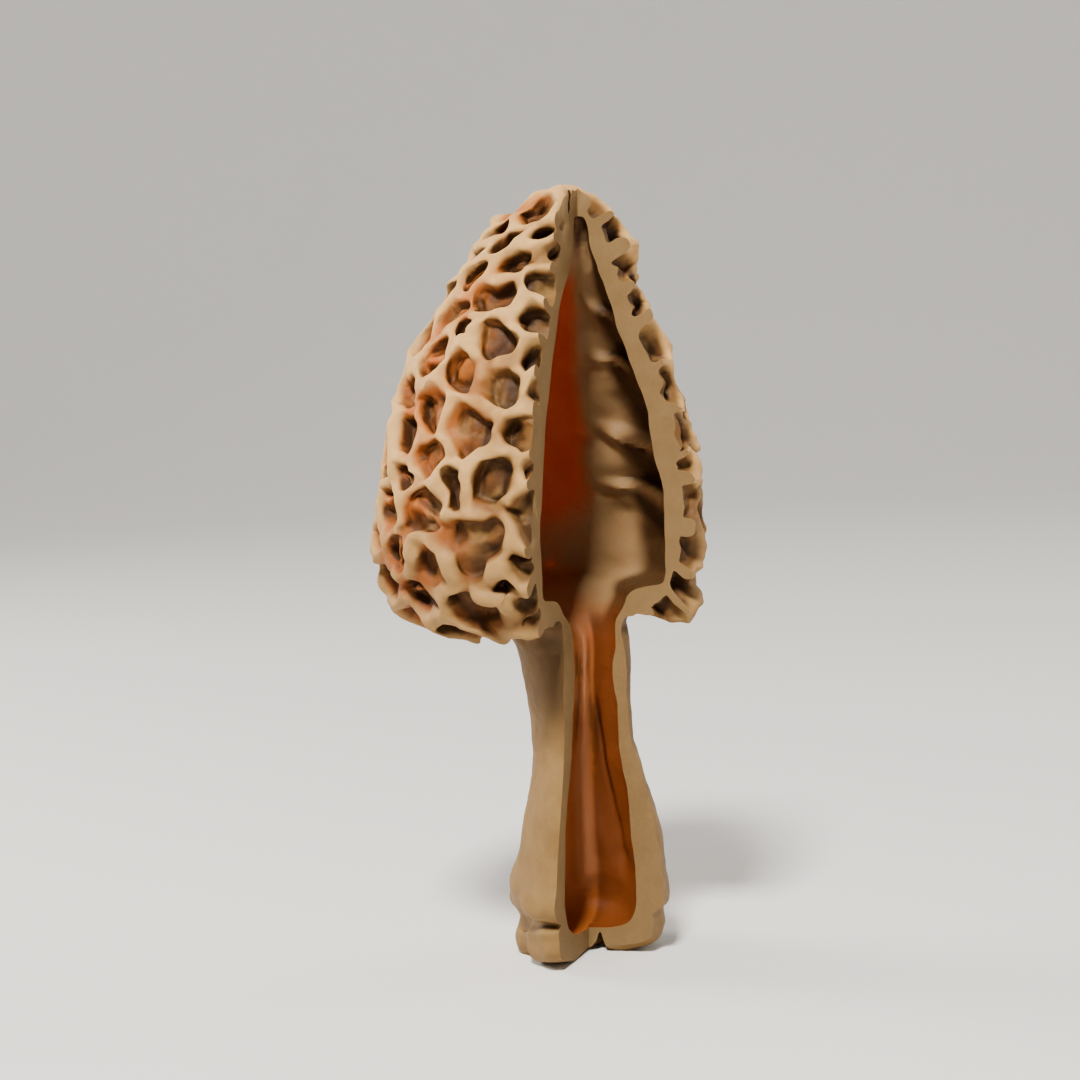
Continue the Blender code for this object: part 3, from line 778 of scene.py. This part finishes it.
def paint(obj):
    """Marks each vertex with how far it stands off the floor of the pits, in mm, and with the rib and masks
    of painted light and shade.
    """
    turn, radius, height = unbent(coords_of(obj), SKIN_MIDDLE_LINE)
    radius -= swell(turn, height)
    raised = np.empty(len(turn))
    for start in range(0, len(turn), 20000):
        part = slice(start, start + 20000)
        gaps = np.hypot(radius[part, None] - SKIN_LINE[:, 0], height[part, None] - SKIN_LINE[:, 1])
        raised[part] = gaps.min(axis=1)
    # Painted light: pits on the left side get a lit copy of the pit colour, the rest a shaded copy.
    leftness = np.abs(turn_from(turn, math.radians(165)))
    painted_lit_side = 1 - smooth_step(leftness, math.radians(45), math.radians(105))
    inner_turn, _, inner_height = unbent(coords_of(obj), HOLLOW_MIDDLE_LINE)
    degrees = np.degrees(inner_turn) % 360
    # Painted light: the hollow's thin side is coloured reddish, as if lit through the wall.
    painted_glow = plateau(degrees, *PAINTED_GLOW_SIDE)
    painted_glow *= (0.3 + 0.7 * smooth_step(inner_height, 62, 76)) * (1 - 0.7 * smooth_step(inner_height, 103, 111))
    band = on_band(degrees, inner_height)
    signed = (degrees + 180) % 360 - 180
    # Painted shade on the hollow's side near the right cut face, and in the stem right of the rib.
    painted_dim = 1 - smooth_step(signed, 24, 54) * smooth_step(inner_height, 50, 58)
    painted_dim *= plateau(signed, *PAINTED_SHADE_SIDE)
    # Painted shade on the low part of the cap, and the cap's painted shadow on the top of the stem, darkest
    # near the left cut face.
    skirt_shade = plateau(height, *SKIRT_SHADE) * 0.45
    cap_shadow = plateau(height, *CAP_SHADOW)
    cap_shadow *= 0.4 + 0.35 * bell(np.degrees(turn) % 360, 262, 40)
    painted_shadow = np.maximum(skirt_shade, cap_shadow)
    marks = {
        "raised": raised, "painted_lit_side": painted_lit_side, "painted_glow": painted_glow, "band": band, "painted_dim": painted_dim, "painted_shadow": painted_shadow,
        "painted_occlusion": occlusion_for_shade(obj, OCCLUSION_REACH),
    }
    for name, values in marks.items():
        layer = obj.data.attributes.new(name, "FLOAT", "POINT")
        layer.data.foreach_set("value", values.astype(np.float32))


class Value:
    """A node's socket, which adds nodes when used in an expression. Without a socket, it starts a tree."""

    def __init__(self, tree, socket=None):
        self.tree, self.socket = tree, socket

    def node(self, kind, settings, *inputs, output=0, **named):
        """Adds a node of that type, sets it, and fills its sockets in order or by name."""
        made = self.tree.nodes.new(kind)
        for name, value in settings.items():
            setattr(made, name, value)
        in_use = [socket for socket in made.inputs if socket.enabled]
        filled = list(zip(in_use, inputs)) + [(made.inputs[name], value) for name, value in named.items()]
        for socket, value in filled:
            if isinstance(value, Value):
                self.tree.links.new(value.socket, socket)
            else:
                socket.default_value = (*value, 1.0) if socket.type == "RGBA" else value
        return Value(self.tree, [socket for socket in made.outputs if socket.enabled][output])

    def _math(self, operation, *operands):
        return self.node("ShaderNodeMath", {"operation": operation}, *operands)

    def __add__(self, other):
        return self._math("ADD", self, other)

    def __radd__(self, other):
        return self._math("ADD", other, self)

    def __sub__(self, other):
        return self._math("SUBTRACT", self, other)

    def __rsub__(self, other):
        return self._math("SUBTRACT", other, self)

    def __mul__(self, other):
        return self._math("MULTIPLY", self, other)

    def __rmul__(self, other):
        return self._math("MULTIPLY", other, self)

    def __truediv__(self, other):
        return self._math("DIVIDE", self, other)

    def __rtruediv__(self, other):
        return self._math("DIVIDE", other, self)

    def clamped(self, low, high):
        """0 at low and 1 at high, smoothly."""
        settings = {"interpolation_type": "SMOOTHSTEP"}
        return self.node("ShaderNodeMapRange", settings, self, low, high, 0.0, 1.0)

    def mixed(self, first, second):
        """The colour first where this is 0, and second where it is 1."""
        return self.node("ShaderNodeMix", {"data_type": "RGBA"}, self, first, second)

    def into(self, socket):
        self.tree.links.new(self.socket, socket)


def new_material(name, roughness, soft, weight, reach):
    """A flesh material: (material, start of its tree, its shader's sockets). soft is in metres."""
    material = bpy.data.materials.new(name)
    material.use_nodes = True
    sockets = material.node_tree.nodes["Principled BSDF"].inputs
    sockets["Roughness"].default_value = roughness
    sockets["Specular IOR Level"].default_value = 0.15
    sockets["Subsurface Weight"].default_value = weight
    sockets["Subsurface Radius"].default_value = reach
    sockets["Subsurface Scale"].default_value = soft
    return material, Value(material.node_tree), sockets


def where(start):
    """The place on the flesh, in metres."""
    return start.node("ShaderNodeTexCoord", {}, output=3)


def level(start):
    """The height above the floor, in metres."""
    return start.node("ShaderNodeSeparateXYZ", {}, where(start), output=2)


def cloudy(start, scale, detail=3.0):
    """A soft random value from about 0.3 to 0.7, in patches of that size in metres."""
    scaled = start.node("ShaderNodeMapping", {}, where(start), (0, 0, 0), (0, 0, 0), (1 / scale,) * 3)
    return start.node("ShaderNodeTexNoise", {}, scaled, Scale=1.0, Detail=detail)


def rough_and_bump(start, sockets, base, strength):
    """Fine grain: a little uneven roughness, and a shallow bump."""
    grain = cloudy(start, 0.0004, 4.0)
    pores = cloudy(start, 0.0014, 2.0)
    (base + (grain - 0.5) * 0.3).into(sockets["Roughness"])
    bump = start.node("ShaderNodeBump", {}, Strength=strength, Distance=0.00025, Height=grain * 0.4 + pores)
    bump.into(sockets["Normal"])


def attribute(start, name):
    """What paint() wrote on the vertices under that name."""
    return start.node("ShaderNodeAttribute", {"attribute_name": name}, output=2)


def shade(colour, share):
    """The colour, darkened to that share."""
    return tuple(part * share for part in colour)


def skin_material(colours, size):
    material, start, sockets = new_material("morel_skin", 0.6, 0.0009, 0.15, (1.0, 0.42, 0.18))
    raised = attribute(start, "raised") * (MM / size.ridge_height)
    painted_lit_side = attribute(start, "painted_lit_side")
    uneven = (cloudy(start, 0.003) - 0.5) * 0.5
    # The pits are painted in a lit copy on the left side and a shaded copy elsewhere.
    pit = painted_lit_side.mixed(colours.pit_shaded_side, colours.pit_lit_side)
    # The deepest part of each pit gets painted shade.
    pit_in_painted_shade = painted_lit_side.mixed(shade(colours.pit_shaded_side, PIT_SHADE), shade(colours.pit_lit_side, PIT_SHADE))
    pit = (raised + uneven * 0.6).clamped(0.0, 0.35).mixed(pit_in_painted_shade, pit)
    cap = (raised + uneven * 0.6).clamped(0.46, 0.92).mixed(pit, colours.ridge)
    cap = (cloudy(start, 0.004).clamped(0.45, 0.75) * 0.5).mixed(cap, colours.ridge_dull)
    stem = cloudy(start, 0.006).clamped(0.35, 0.65).mixed(colours.stem, colours.stem_pale)
    final = level(start).clamped(*CAP_STARTS).mixed(stem, cap)
    final = (cloudy(start, 0.0012).clamped(0.3, 0.7) * 0.12).mixed(final, colours.speck)
    # Painted shade where the flesh closes a point in.
    final = (attribute(start, "painted_occlusion").clamped(0.14, 0.66) * 0.95).mixed(final, colours.painted_shade_colour)
    # Painted shade on the low part of the cap and the cap's painted shadow on the stem.
    final = attribute(start, "painted_shadow").mixed(final, colours.painted_shade_colour)
    final.into(sockets["Base Color"])
    rough_and_bump(start, sockets, 0.6, 0.35)
    return material


def hollow_material(colours):
    material, start, sockets = new_material("morel_hollow", 0.6, 0.002, 0.35, (1.0, 0.28, 0.07))
    patches = cloudy(start, 0.007)
    # Painted light on the thin side, coloured reddish as if lit through the wall.
    painted_glow = (attribute(start, "painted_glow") + (patches - 0.5) * 0.5).clamped(0.1, 0.75)
    # Painted shade near the right cut face and right of the rib inside the stem.
    painted_dim = (attribute(start, "painted_dim") + (patches - 0.5) * 0.3).clamped(0.1, 0.85) * 0.95
    cap = painted_glow.mixed(painted_dim.mixed(colours.hollow_far, colours.hollow_painted_shade), colours.hollow_painted_glow)
    band = (attribute(start, "band") + (patches - 0.5) * 0.3).clamped(0.15, 0.8)
    stem = band.mixed(painted_dim.mixed(colours.stem_hollow_with_glow, colours.stem_hollow_painted_shade), colours.stem_hollow_pale)
    on_cap = (level(start) + (patches - 0.5) * 0.006).clamped(*HOLLOW_CAP_STARTS)
    # Painted shade where the flesh closes a point in.
    painted_occlusion = attribute(start, "painted_occlusion").clamped(0.22, 0.7) * 0.9
    final = painted_occlusion.mixed(on_cap.mixed(stem, cap), colours.painted_shade_colour)
    final.into(sockets["Base Color"])
    # Painted light: the thin side shines by emission, as if light came through the wall.
    (painted_glow * on_cap).mixed((0.0, 0.0, 0.0), colours.emitted_glow).into(sockets["Emission Color"])
    sockets["Emission Strength"].default_value = EMITTED_GLOW
    rough_and_bump(start, sockets, 0.6, 0.3)
    return material


def cut_material(colours):
    material, start, sockets = new_material("morel_cut", 0.7, 0.0012, 0.25, (1.0, 0.42, 0.18))
    base = cloudy(start, 0.004).clamped(0.3, 0.7).mixed(colours.cut, colours.cut_pale)
    base = (cloudy(start, 0.0008).clamped(0.35, 0.65) * 0.2).mixed(base, colours.speck)
    base.into(sockets["Base Color"])
    rough_and_bump(start, sockets, 0.7, 0.25)
    return material


def metres(name, about, default, low, high):
    return bpy.props.FloatProperty(
        name=name, description=about, default=default, min=low, max=high, unit="LENGTH"
    )


def whole(name, about, default, low, high):
    return bpy.props.IntProperty(name=name, description=about, default=default, min=low, max=high)


def turned(name, about, default):
    return bpy.props.FloatProperty(name=name, description=about, default=default, subtype="ANGLE")


def colour(of, default):
    return bpy.props.FloatVectorProperty(
        name=of, description=f"Colour of: {of}", default=default, min=0.0, max=1.0, size=3, subtype="COLOR"
    )


class MorelSizes(bpy.types.PropertyGroup):
    ridge_height: metres("Ridge height", "How far ridges stand off the pits", 3.2 * MM, 1.0 * MM, 3.3 * MM)
    ridge_thickness: metres("Ridge thickness", "How thick ridges are", 1.9 * MM, 1.0 * MM, 4.0 * MM)
    detail: whole("Detail", "How many times the skin's cage is subdivided", 2, 1, 3)
    hollow_steps: whole("Hollow steps", "How many sides the hollow has", 160, 24, 240)
    triangles: whole("Triangles", "About how many the finished flesh has", 190000, 20000, 199000)
    seed: whole("Seed", "Which random ridges are drawn", 5, 0, 9999)


class MorelColours(bpy.types.PropertyGroup):
    ridge: colour("Ridges", (0.56, 0.32, 0.11))
    ridge_dull: colour("Ridges, duller patches", (0.36, 0.2, 0.062))
    # The pit colour in a painted shaded copy and a painted lit copy.
    pit_shaded_side: colour("Pits away from the light", (0.14, 0.062, 0.015))
    pit_lit_side: colour("Pits on the lit side", (0.38, 0.092, 0.008))
    # The colour of painted shade.
    painted_shade_colour: colour("Deep, sheltered places", (0.03, 0.011, 0.0025))
    stem: colour("Outside of the stem", (0.17, 0.093, 0.027))
    stem_pale: colour("Outside of the stem, paler patches", (0.215, 0.124, 0.039))
    cut: colour("Cut faces", (0.165, 0.098, 0.036))
    cut_pale: colour("Cut faces, paler patches", (0.188, 0.113, 0.043))
    hollow_far: colour("Hollow, in the middle", (0.25, 0.145, 0.06))
    # Painted shade near the right cut face.
    hollow_painted_shade: colour("Hollow, near the right cut face", (0.035, 0.013, 0.0025))
    # Painted light: reddish, as if lit through the thin wall.
    hollow_painted_glow: colour("Hollow, on the thin side", (0.28, 0.03, 0.003))
    # Painted light: the thin side's emission.
    emitted_glow: colour("Light through the thin side", (1.0, 0.1, 0.008))
    # Partly the stem hollow's own colour, partly painted orange light through the thin wall.
    stem_hollow_with_glow: colour("Inside of the stem", (0.34, 0.09, 0.014))
    # Painted shade right of the rib.
    stem_hollow_painted_shade: colour("Inside of the stem, right of the rib", (0.11, 0.024, 0.0025))
    stem_hollow_pale: colour("Rib inside the stem", (0.4, 0.15, 0.055))
    speck: colour("Fine dark specks", (0.15, 0.07, 0.025))


class StageSizes(bpy.types.PropertyGroup):
    floor_radius: metres("Floor radius", "How far out the floor curves up", 0.9, 0.6, 6.0)
    view_turn: turned("View turn", "How far round from the front the camera stands", LEAN_TURN)
    view_height: turned("View height", "How far down the camera looks", math.radians(5.5))
    view_distance: metres("View distance", "How far away the camera is", 0.36, 0.15, 2.0)


class MOREL_OT_grow_flesh(bpy.types.Operator):
    """Grow the mushroom: its netted cap, stem and hollow, with a quarter cut away"""

    bl_idname = "morel.grow_flesh"
    bl_label = "Grow the mushroom"

    def execute(self, context):
        size, colours = context.scene.morel_sizes, context.scene.morel_colours
        flesh = outer_skin(size)
        flesh.data.materials.append(skin_material(colours, size))
        cut_away(flesh, hollow(size), hollow_material(colours))
        cut_away(flesh, missing_quarter(), cut_material(colours))
        made = sum(len(p.vertices) - 2 for p in flesh.data.polygons)
        if not made:
            raise RuntimeError("the flesh has no faces left")
        if made > size.triangles:
            apply_modifier(flesh, "TRIANGULATE")
            apply_modifier(flesh, "DECIMATE", ratio=size.triangles / made)
        paint(flesh)
        picked(flesh)
        bpy.ops.object.shade_smooth_by_angle(angle=math.radians(42))
        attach(flesh, "root")
        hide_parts(NODE)
        return {"FINISHED"}


def backdrop(radius):
    """A pale floor that curves up all round."""
    line = [(0.0, 0.0), (radius, 0.0)]
    for i in range(1, 9):
        bend = math.radians(i * 10)
        line.append((radius + WALL_CURVE * math.sin(bend), WALL_CURVE * (1 - math.cos(bend))))
    line.append((radius + WALL_OUT, WALL_TOP))
    obj = spun("floor", line, 64, 0.0001, inside=True)
    bpy.ops.object.shade_smooth()
    return obj


def floor_material():
    material = bpy.data.materials.new("pale_floor")
    material.use_nodes = True
    shader = material.node_tree.nodes["Principled BSDF"]
    shader.inputs["Base Color"].default_value = (0.72, 0.7, 0.67, 1.0)
    shader.inputs["Roughness"].default_value = 0.85
    return material


def soft_light(name, target, direction, distance, size, power, tint):
    """A square area light that faces target from that direction."""
    data = bpy.data.lights.new(name, "AREA")
    data.size = size
    data.energy = power
    data.color = tint
    obj = bpy.data.objects.new(name, data)
    bpy.context.scene.collection.objects.link(obj)
    obj.location = target + direction.normalized() * distance
    obj.rotation_euler = (-direction).to_track_quat("-Z", "Y").to_euler()
    return obj


class MOREL_OT_set_stage(bpy.types.Operator):
    """Set the stage: a pale floor, soft lights and the camera"""

    bl_idname = "morel.set_stage"
    bl_label = "Set the stage"

    def execute(self, context):
        size = context.scene.morel_stage
        floor = backdrop(size.floor_radius)
        floor.data.materials.append(floor_material())
        right = Vector((math.cos(size.view_turn), math.sin(size.view_turn), 0.0))
        turn, down = size.view_turn, size.view_height
        view = Vector((-math.sin(turn) * math.cos(down), math.cos(turn) * math.cos(down), -math.sin(down)))
        up = right.cross(view)
        target = CORNER + Vector((0, 0, TARGET_HEIGHT)) - right * TARGET_ASIDE
        tipped_right = right * math.cos(CAMERA_ROLL) - up * math.sin(CAMERA_ROLL)
        tipped_up = up * math.cos(CAMERA_ROLL) + right * math.sin(CAMERA_ROLL)
        pose = Matrix((tipped_right, tipped_up, -view)).transposed().to_4x4()
        pose.translation = target - view * size.view_distance
        camera = bpy.data.objects.new("camera", bpy.data.cameras.new("camera"))
        context.scene.collection.objects.link(camera)
        camera.data.lens = LENS_MM
        camera.data.sensor_width = SENSOR_MM
        camera.data.clip_start = NEAREST
        camera.matrix_world = TIPPED @ pose
        context.scene.camera = camera
        for name, (back, aside, upwards), distance, wide, power, tint in LIGHTS:
            direction = view * -back + right * aside + up * upwards
            soft_light(name, target, direction, distance, wide, power, tint)
        wall_foot = target + view * WALL_AHEAD - up * WALL_DROP
        soft_light("wall_light", wall_foot, up - view * 0.35, *WALL_LIGHT, (1.0, 1.0, 1.0))
        world = bpy.data.worlds.new("pale_studio")
        world.use_nodes = True
        background = world.node_tree.nodes["Background"]
        background.inputs["Color"].default_value = (0.8, 0.82, 0.85, 1.0)
        background.inputs["Strength"].default_value = WORLD_STRENGTH
        context.scene.world = world
        return {"FINISHED"}


class MOREL_PT_panel(bpy.types.Panel):
    """The mushroom's sizes, colours and tools"""

    bl_idname = "MOREL_PT_panel"
    bl_label = "Morel mushroom"
    bl_space_type = "VIEW_3D"
    bl_region_type = "UI"
    bl_category = "Morel"

    def draw(self, context):
        layout = self.layout
        for name in GROUPS:
            group = getattr(context.scene, name)
            box = layout.box()
            for prop in group.__annotations__:
                box.prop(group, prop)
        layout.operator(MOREL_OT_grow_flesh.bl_idname)
        layout.operator(MOREL_OT_set_stage.bl_idname)


GROUPS = {"morel_sizes": MorelSizes, "morel_colours": MorelColours, "morel_stage": StageSizes}
CLASSES = (*GROUPS.values(), MOREL_OT_grow_flesh, MOREL_OT_set_stage, MOREL_PT_panel)


def register():
    for cls in CLASSES:
        bpy.utils.register_class(cls)
    for name, group in GROUPS.items():
        setattr(bpy.types.Scene, name, bpy.props.PointerProperty(type=group))


def unregister():
    for name in GROUPS:
        delattr(bpy.types.Scene, name)
    for cls in reversed(CLASSES):
        bpy.utils.unregister_class(cls)


def main():
    register()
    deselect()
    bpy.ops.morel.grow_flesh()
    bpy.ops.morel.set_stage()


if __name__ == "__main__":
    main()
